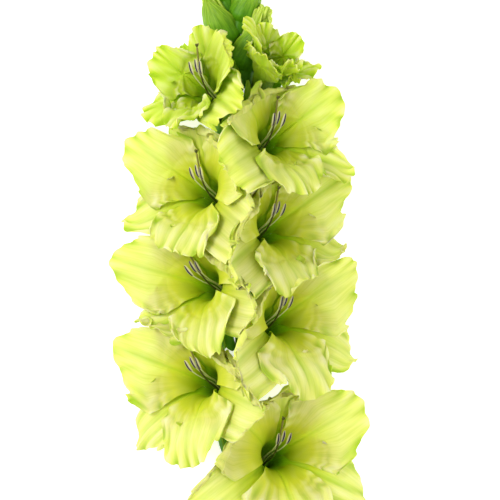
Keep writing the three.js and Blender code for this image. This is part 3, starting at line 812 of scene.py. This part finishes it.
# A leaf is stiff and ribbed: fine dark and light stripes run its whole length under a satin sheen.
leaf_paint = paint_green("#3E7A16", "#4F8A1E", "#86A83C", half_width=15, spacing=0.68, stretch=5)
leaf_skin = tissue("parallel_veined_leaf", leaf_paint, FIBRE_RELIEF * 2, glow=0.2, roughness=0.42)

# %% [markdown]
# The stem is one grid rolled into a rod. It swells a little at each node, carries soft ribs, and
# ends in a flat cut face below. Its first and last rows close to a point, so the rod has no hole.

# %% Stem
CAP = 0.02
STEM_SIDES = 28
STEM_ROWS = 260
BUD_NODES = [628, 649, 670, 689, 706, 724]
KNOT_HEIGHT = 0.35
KNOT_LENGTH = 5
STEM_RIBS = [(0.012, 9, 0.01), (0.008, 17, 0)]


def along_stem(share):
    """Place along the stem; a small share at each end closes the rod."""
    return np.clip((share - CAP) / (1 - 2 * CAP), 0, 1) * STEM_LENGTH


def stem_frame(share):
    y = along_stem(share)
    ones = np.ones((len(y), 1))
    return stem_line(y), ones * (1, 0, 0), ones * (0, 0, 1), ones * (0, 1, 0)


def stem_skin_radius(angle, share):
    y = along_stem(share)
    nodes = [floret["node"] for floret in florets] + BUD_NODES
    knots = KNOT_HEIGHT * sum(np.exp(-((y - node) / KNOT_LENGTH) ** 2) for node in nodes)
    ribs = sum(height * np.sin(count * angle + y * twist) for height, count, twist in STEM_RIBS)
    closed = np.clip(share / CAP, 0, 1) * np.clip((1 - share) / CAP, 0, 1)
    return (stem_radius(y) * (1 + ribs) + knots) * closed


def stem_growth(angle, share):
    """Fold runs outwards over the cut face, and ripe is 0 on that face."""
    outwards = np.clip(share / CAP, 0, 1)
    return np.abs(angle) / math.pi, np.clip(share, 0, 1), outwards, np.where(share < CAP * 1.01, 0, 1)


bm = bmesh.new()
roll_grid(bm, STEM_SIDES, STEM_ROWS, stem_skin_radius, stem_frame, stem_growth)
finish_piece(bm, "stem_fine", "stem", stem_skin)

# %% [markdown]
# Two leaves clasp the stem at their foot, then open and fall to the surface. A gladiolus leaf is a
# sword: long, pointed and ribbed by parallel veins, so the grid carries raised ribs that fade to
# the tip.

# %% Leaves
LEAVES = [dict(side=-1, start=36, length=215, width=30), dict(side=1, start=128, length=150, width=24)]
LEAF_COLUMNS = 54
LEAF_ROWS = 160
LEAF_THICKNESS = 1.6
LEAF_SHEET = 0.9
LEAF_CAMBER = 60
LEAF_FALL = 46
CLASP_TURN = 26
LYING_TURN = 88
LEAF_RIB = 0.28
LEAF_MIDRIB = 0.9
LEAF_RIPPLE = 1.2


def leaf_place(leaf, number):
    """A leaf's grid: curled round the stem at its foot, flatter and lying down at its tip."""
    side, start, length, width = (leaf[key] for key in ("side", "start", "length", "width"))
    clasp = stem_radius(start) + CLEARANCE + LEAF_THICKNESS / 2
    first = math.radians(CLASP_TURN)

    def place(u, y):
        t = (y + 1) / 2
        along = start + t * length
        opened = smooth(0.1, 0.5, t)
        turn = np.radians(mix(CLASP_TURN, LYING_TURN, smooth(0.15, 0.6, t)))
        outward = np.stack([side * np.cos(turn), 0 * t, np.sin(turn)], axis=1)
        across = np.stack([-side * np.sin(turn), 0 * t, np.cos(turn)], axis=1)
        reach = mix(math.pi * clasp * 1.1, width, opened) * (1 - t**3 * 0.97)
        s = u * reach / 2
        curl = mix(1 / clasp, 1 / LEAF_CAMBER, opened)
        stem = stem_line(along)
        x = stem[:, 0] + side * mix(clasp * math.cos(first), LEAF_FALL, smooth(0.08, 1, t))
        z = mix(stem[:, 2] + clasp * math.sin(first), LEAF_THICKNESS, smooth(0.45, 1, t))
        ribs = LEAF_RIB * np.cos(u * math.pi * 9) * smooth(1.0, 0.7, t)
        ribs = ribs + LEAF_MIDRIB * np.exp(-(u / 0.07) ** 2)
        ripple = LEAF_RIPPLE * opened * np.sin(t * 11 + number) * u * np.abs(u)
        lift = -(1 - np.cos(curl * s)) / curl + ribs * smooth(0.05, 0.3, t) + ripple
        points = np.stack([x, along, z], axis=1) + outward * lift[:, None]
        points = points + across * (np.sin(curl * s) / curl)[:, None]
        return points, (np.abs(u), t, 0.5, 1)
    return place


for number, leaf in enumerate(LEAVES, 1):
    bm = bmesh.new()
    shape_grid(bm, LEAF_COLUMNS, LEAF_ROWS, leaf_place(leaf, number))
    node = f"stem_leaf_{number}"
    finish_piece(bm, f"{node}_fine", node, leaf_skin, LEAF_SHEET)

# %% [markdown]
# Each flower grows out of two pointed bracts that wrap its tube: an outer one from below and a
# shorter inner one on the stem's side. They are thin sheets with ribs, and their free edges wave.
# Round a young flower they still wrap further, stand wider and reach higher.

# %% Bracts
BRACTS = [
    dict(kind="outer", layer=1, away=(1, 0.1, -0.5), wrap=200, length=0.72),
    dict(kind="inner", layer=0, away=(-1, 0.1, 0.7), wrap=170, length=0.58),
]
BRACT_COLUMNS = 30
BRACT_ROWS = 48
BRACT_SHEET = 0.5
BRACT_FOOT = -0.2
YOUNG_WRAP = 70
YOUNG_LENGTH = 0.36
YOUNG_STAND = 2.4


def bract_place(floret, bract):
    young, layer = 1 - floret["ripe"], bract["layer"]
    away = np.array(bract["away"]) * (floret["side"], 1, 1)
    half_wrap = math.radians(bract["wrap"] + YOUNG_WRAP * young) / 2
    length = bract["length"] + YOUNG_LENGTH * young
    stand = BRACT_ROOM + CLEARANCE * layer + BRACT_THICKNESS * (layer + 0.5) + YOUNG_STAND * young

    def place(u, y):
        t = (y + 1) / 2
        v = mix(BRACT_FOOT, length, t)
        centre, a, b, _ = floret["tube"](v)
        narrowing = (1 - t**2.4 * 0.97) * mix(0.5, 1, smooth(0, 0.14, t) ** 0.5)
        angle = np.arctan2(b @ away, a @ away) + half_wrap * u * narrowing
        ribs = 0.12 * np.cos(u * math.pi * 7) + 0.5 * np.exp(-(u / 0.08) ** 2)
        rim = 0.35 * np.abs(u) ** 4 * np.sin(t * 17 + floret["seed"])
        r = tube_radius(v) + TEPAL_THICKNESS / 2 + stand + (ribs + rim) * smooth(0, 0.2, t)
        return on_ring(centre, a, b, angle, r), (np.abs(u), t, 0.5, floret["ripe"])
    return place


for floret in florets:
    for bract in BRACTS:
        bm = bmesh.new()
        shape_grid(bm, BRACT_COLUMNS, BRACT_ROWS, bract_place(floret, bract))
        node = f"{floret['name']}_{bract['kind']}_bract"
        finish_piece(bm, f"{node}_fine", node, bract_skin, BRACT_SHEET)

# %% [markdown]
# Three stamens and one style rise from the tube and lean to the hood. A stamen is a thin thread
# with a long two-lobed anther; the groove between the lobes splits and shows a dark violet-grey
# line. The style is thinner, olive, and ends in three small paddles. Each is a grid rolled round a
# curve.

# %% Skins of the stamens and the style
THREAD = [(0.0, "#8C9A3A"), (0.5, "#C9CF7A"), (1.0, "#E9E9BE")]
ANTHER = [(0.0, "#2E2838"), (0.35, "#4C4458"), (0.6, "#B9B48E"), (1.0, "#EEE8BE")]
STYLE = [(0.0, "#5C6A14"), (0.7, "#4A4C1C"), (1.0, "#8A8440")]


def paint_stamen(tree, numbers):
    """Ripe is 0 on the thread and 1 on the anther; fold is 0 in the anther's groove."""
    thread, lobes = (
        add_node(tree, "ShaderNodeValToRGB", {"Fac": numbers[key]}, stops).outputs["Color"]
        for key, stops in (("along", THREAD), ("fold", ANTHER))
    )
    whole = add_node(tree, "ShaderNodeMix", {0: numbers["ripe"], 6: thread, 7: lobes}, data_type="RGBA")
    return whole.outputs[2], numbers["fold"]


def paint_style(tree, numbers):
    shade = add_node(tree, "ShaderNodeValToRGB", {"Fac": numbers["along"]}, STYLE)
    return shade.outputs["Color"], numbers["fold"]


# Pollen makes an anther powdery and matt: its lobes are cream and its split is dark.
stamen_skin = tissue("pollen_dusted_stamen", paint_stamen, FIBRE_RELIEF, glow=0.2, roughness=0.7)
# A style is smooth and moist: a thin, dark olive line with a small sheen.
style_skin = tissue("olive_style", paint_style, FIBRE_RELIEF, glow=0.2, roughness=0.5)

# %% Places in the throat and in the tube
COLLAR_SHARE = 0.42
TUBE_MARK = 0.72


def in_throat(floret, rise, upward, aside):
    return floret["throat"] + floret["axis"] * rise + floret["up"] * upward + floret["out"] * aside


def in_tube(floret, share, aside, upward, rise=0):
    centre, a, b, ahead = (rows[0] for rows in floret["tube"](share))
    b = b * (-1 if b @ floret["out"] < 0 else 1)
    return centre + b * aside + a * upward + ahead * rise


def closed_ends(share):
    return smooth(0, 0.01, share) * smooth(1, 0.99, share)


# %% The stamens
THREAD_SIDES = 14
THREAD_ROWS = 70
FILAMENT_RADIUS = 0.5
ANTHER_RADIUS = 1.5
ANTHER_START = 0.76
FILAMENT_PATH = [(0, 2, 2.2), (14, 4, 3.2), (26, 8, 4.5), (33, 15, 5.5)]


def anther_radius(angle, share):
    """A thin thread that swells into an anther with two lobes."""
    s = np.clip((share - ANTHER_START) / (1 - ANTHER_START), 0, 1)
    lobes = ANTHER_RADIUS * np.sin(math.pi * s) ** 0.4 * (0.58 + 0.42 * np.abs(np.cos(angle)) ** 0.7)
    return np.maximum(FILAMENT_RADIUS * smooth(1.0, 0.95, share), lobes) * closed_ends(share)


def anther_growth(angle, share):
    groove = smooth(0.2, 1.0, np.abs(np.cos(angle)))
    return np.abs(angle) / math.pi, share, groove, smooth(ANTHER_START + 0.01, ANTHER_START + 0.03, share)


def grow_stamen(bm, floret, turn):
    """Turn is 0 for the middle stamen, which leans on the hood, and -1 or 1 beside it."""
    lean = 1 - abs(turn)
    path = [in_tube(floret, COLLAR_SHARE, turn * 1.3, 0.9 + lean * 0.6, 0.5),
            in_tube(floret, TUBE_MARK, turn * 1.8, 1.6 + lean * 0.6)]
    path += [in_throat(floret, rise, upward + lean * (1 + rise / 33), turn * aside)
             for rise, upward, aside in FILAMENT_PATH]
    line = side_frame(lambda share: through(path, share), floret["out"])
    roll_grid(bm, THREAD_SIDES * 2, THREAD_ROWS, anther_radius, line, anther_growth)


# %% The style
STYLE_RADIUS = 0.7
STYLE_PATH = [(0, -2.2, 0), (14, 1, -1.8), (26, 9, -2.7), (38, 25, -3)]
PADDLE_ROWS = 14
PADDLE_RADIUS = 1.15
PADDLE_LENGTH = 3.2
PADDLE_ROOT = 1.2


def style_radius(angle, share):
    return STYLE_RADIUS * (1 + 0.3 * smooth(0.9, 1, share)) * closed_ends(share)


def paddle_radius(angle, share):
    flat = 0.35 + 0.65 * np.abs(np.cos(angle))
    return PADDLE_RADIUS * flat * np.sin(math.pi * np.clip(share, 0, 1)) ** 0.5 * (0.5 + 0.5 * share)


def plain_growth(angle, share):
    return np.abs(angle) / math.pi, share, 0.5, 1


def grow_style(bm, floret):
    """One thread that ends in three flat paddles."""
    path = [in_tube(floret, COLLAR_SHARE, 0, -1.4, 1.4), in_tube(floret, TUBE_MARK, 0, -1.6)]
    path += [in_throat(floret, *place) for place in STYLE_PATH]
    line = side_frame(lambda share: through(path, share), floret["out"])
    roll_grid(bm, THREAD_SIDES, THREAD_ROWS, style_radius, line, plain_growth)
    end, a, b, ahead = (rows[0] for rows in line(1.0))
    for turn, aside in ((-1, 0.5), (0, -1), (1, 0.5)):
        spread = (a * turn + b * aside) * PADDLE_LENGTH * 0.5
        course = [end - ahead * PADDLE_ROOT, end + ahead, end + ahead * PADDLE_LENGTH * 0.8 + spread]
        paddle = side_frame(lambda share: bezier(course, share), a)
        roll_grid(bm, THREAD_SIDES, PADDLE_ROWS, paddle_radius, paddle, plain_growth)


# %% [markdown]
# Each open flower gets its stamens as one piece and its style as another. The youngest flower is
# still too tightly shut to show them, so it has none.

# %% Grow the stamens and the styles
for floret in florets[:-1]:
    bm = bmesh.new()
    for turn in (-1, 0, 1):
        grow_stamen(bm, floret, turn)
    node = f"{floret['name']}_stamens"
    finish_piece(bm, f"{node}_fine", node, stamen_skin)

    bm = bmesh.new()
    grow_style(bm, floret)
    node = f"{floret['name']}_style"
    finish_piece(bm, f"{node}_fine", node, style_skin)

# %% [markdown]
# Above the florets the buds are still closed. A bud is three young tepals wound round each other,
# each with one margin tucked in and one on top, and their frilled tips stand out of the bract. The
# bract is larger than the bud here, dark green and pointed, so the tip of the spike looks scaly.

# %% Bud skin
BUD_GREENS = [(0.0, "#5E8E12"), (0.45, "#86B41C"), (0.8, "#A6CC2C"), (1.0, "#CDE35A")]


def paint_bud(tree, numbers):
    base = add_node(tree, "ShaderNodeValToRGB", {"Fac": numbers["along"]}, BUD_GREENS).outputs["Color"]
    fibres = streaks(tree, numbers, half_width=21, spacing=VEIN_SPACING, stretch=4)
    veined = tint(tree, base, "#6E9A10", fibres, 0.4, 0.7, 0.4)
    # Painted highlight: the ridges of the frills and pleats are tinted pale.
    return tint(tree, veined, "#DDEB7A", numbers["fold"], 0.5, 1.0, 0.5), fibres


# A young tepal is firmer and greener than an open one, and less light passes through it.
bud_skin = tissue("young_green_tepal", paint_bud, VEIN_RELIEF, glow=0.45)

# %% The buds' places
BUD_SIZES = [(56, 8.8), (52, 8.2), (48, 7.2), (43, 6.4), (40, 5.8), (34, 4.8)]
BUDS = [
    dict(side=1 if i % 2 else -1, node=node, length=length, radius=radius)
    for i, (node, (length, radius)) in enumerate(zip(BUD_NODES, BUD_SIZES))
]
BUD_SPREAD = 0.34
BUD_RISE = 0.12


def bud_line(bud):
    """The middle line of a bud, from the stem outwards and up."""
    stand = stem_radius(bud["node"]) + BRACT_THICKNESS + CLEARANCE * 2 + bud["radius"] * 0.35
    foot = stem_line(bud["node"]) + (bud["side"] * stand, 0, 0)
    belly = foot + np.array([bud["side"] * BUD_SPREAD * 0.86, 1, BUD_RISE]) * bud["length"] * 0.45
    end = foot + np.array([bud["side"] * BUD_SPREAD, 1, BUD_RISE]) * bud["length"]
    return side_frame(lambda share: bezier([foot, belly, end], share), np.array([bud["side"], 0, 0]))


def bud_radius(radius, v):
    body = 0.35 + 0.65 * np.sin(math.pi * np.clip(v * 1.1, 0, 1) ** 0.8)
    return radius * body * (1 - smooth(0.8, 1.05, v))


print(len(BUDS), "buds from", BUDS[0]["node"], "to", BUDS[-1]["node"], "mm along the stem")

# %% Wind the tepals of a bud
BUD_COLUMNS = 40
BUD_ROWS = 60
HALF_WIND = 1.75
TWIST = 0.9
BUD_FRILL = 0.14
BUD_PLEAT = 0.35
BUD_TIP_SPREAD = 0.3
LEAST_RADIUS = 0.2


def wound_tepal(line, radius, number, seed):
    """One of three young tepals wound round a bud, with one margin in and one out."""
    def place(x, y):
        u, t = dense_edges(x), (y + 1) / 2
        v = t * (1 - 0.12 * u**2) * (1 + 0.02 * np.sin(9 * u + seed))
        centre, a, b, _ = line(np.clip(v, 0, 1))
        angle = number * math.pi * 2 / 3 + u * HALF_WIND + TWIST * v + seed
        rim = np.exp(-(1 - np.abs(u)) / 0.12) + np.exp(-(1 - t) / 0.1)
        frill = rim * smooth(0.4, 0.9, t) * (np.sin(13 * u + 7 * t + seed) + 0.5 * np.sin(31 * u - 11 * t))
        pleat = BUD_PLEAT * np.cos(u * math.pi * 4) * smooth(0.1, 0.4, t)
        r = bud_radius(radius, v) * (0.93 + 0.1 * u) + BUD_TIP_SPREAD * radius * smooth(0.7, 1, t)
        r = np.maximum(r + BUD_FRILL * radius * frill + pleat * radius / 9, LEAST_RADIUS)
        # Ridges of the frills and pleats get a high depth, which the bud material paints as a pale painted
        # highlight.
        depth = np.clip(0.5 + 0.4 * frill + pleat, 0, 1)
        return on_ring(centre, a, b, angle, r), (np.abs(u), t, depth, 0.3)
    return place


def grow_bud(name, line, radius, seed):
    bm = bmesh.new()
    for number in range(3):
        shape_grid(bm, BUD_COLUMNS, BUD_ROWS, wound_tepal(line, radius, number, seed))
    finish_piece(bm, f"{name}_fine", name, bud_skin, SHEER)


# %% [markdown]
# A bud's bract is one wide sheet that wraps it almost all round. Its foot is broad and clasps the
# stem, so one bract hides the foot of the next, and its tip lets the frilled tepals stand out.

# %% Grow the buds and their bracts
BUD_PLUMPNESS = 1.4
BUD_BRACT_COLUMNS = 48
BUD_BRACT_ROWS = 50
BUD_BRACT_REACH = 0.84
BUD_BRACT_FOOT = -0.26
BUD_BRACT_FOOT_WIDTH = 1.9
BUD_BRACT_WRAP = math.radians(280)
BUD_BRACT_TURN = math.radians(60)
BUD_BRACT_FIT = 1.2
BUD_BRACT_LIP = 1.2


def bud_bract_place(bud, line):
    def place(u, y):
        t = (y + 1) / 2
        v = mix(BUD_BRACT_FOOT, BUD_BRACT_REACH, t)
        centre, a, b, _ = line(v)
        angle = bud["side"] * BUD_BRACT_TURN + BUD_BRACT_WRAP / 2 * u * (1 - t**2.2 * 0.97)
        ribs = 0.15 * np.cos(u * math.pi * 8) + 0.5 * np.exp(-(u / 0.07) ** 2)
        foot = mix(BUD_BRACT_FOOT_WIDTH, 1, smooth(-0.1, 0.3, v))
        r = bud_radius(bud["radius"], v) * BUD_BRACT_FIT * BUD_PLUMPNESS * foot
        r = r + BRACT_ROOM + ribs * smooth(0, 0.2, t) + BUD_BRACT_LIP * smooth(0.7, 1, t)
        return on_ring(centre, a, b, angle, r), (np.abs(u), t, 0.5, 0)
    return place


for number, bud in enumerate(BUDS, 1):
    line = bud_line(bud)
    grow_bud(f"bud_{number}", line, bud["radius"] * BUD_PLUMPNESS, number * 1.3)
    bm = bmesh.new()
    shape_grid(bm, BUD_BRACT_COLUMNS, BUD_BRACT_ROWS, bud_bract_place(bud, line))
    node = f"bud_{number}_bract"
    finish_piece(bm, f"{node}_fine", node, bract_skin, BRACT_SHEET)

# %% [markdown]
# The stem ends in one more bud, too young to have a bract of its own. It is wound in the same way.

# %% The bud at the tip
TIP_BUD_LENGTH = 30
TIP_BUD_RADIUS = 4
TIP_BUD_COURSE = (-0.1, 1, 0.05)

foot = stem_line(STEM_LENGTH + CLEARANCE)
end = foot + np.array(TIP_BUD_COURSE) * TIP_BUD_LENGTH
tip_line = side_frame(lambda share: bezier([foot, (foot + end) / 2, end], share), np.array([1, 0, 0]))
grow_bud("tip_bud", tip_line, TIP_BUD_RADIUS, 0.5)
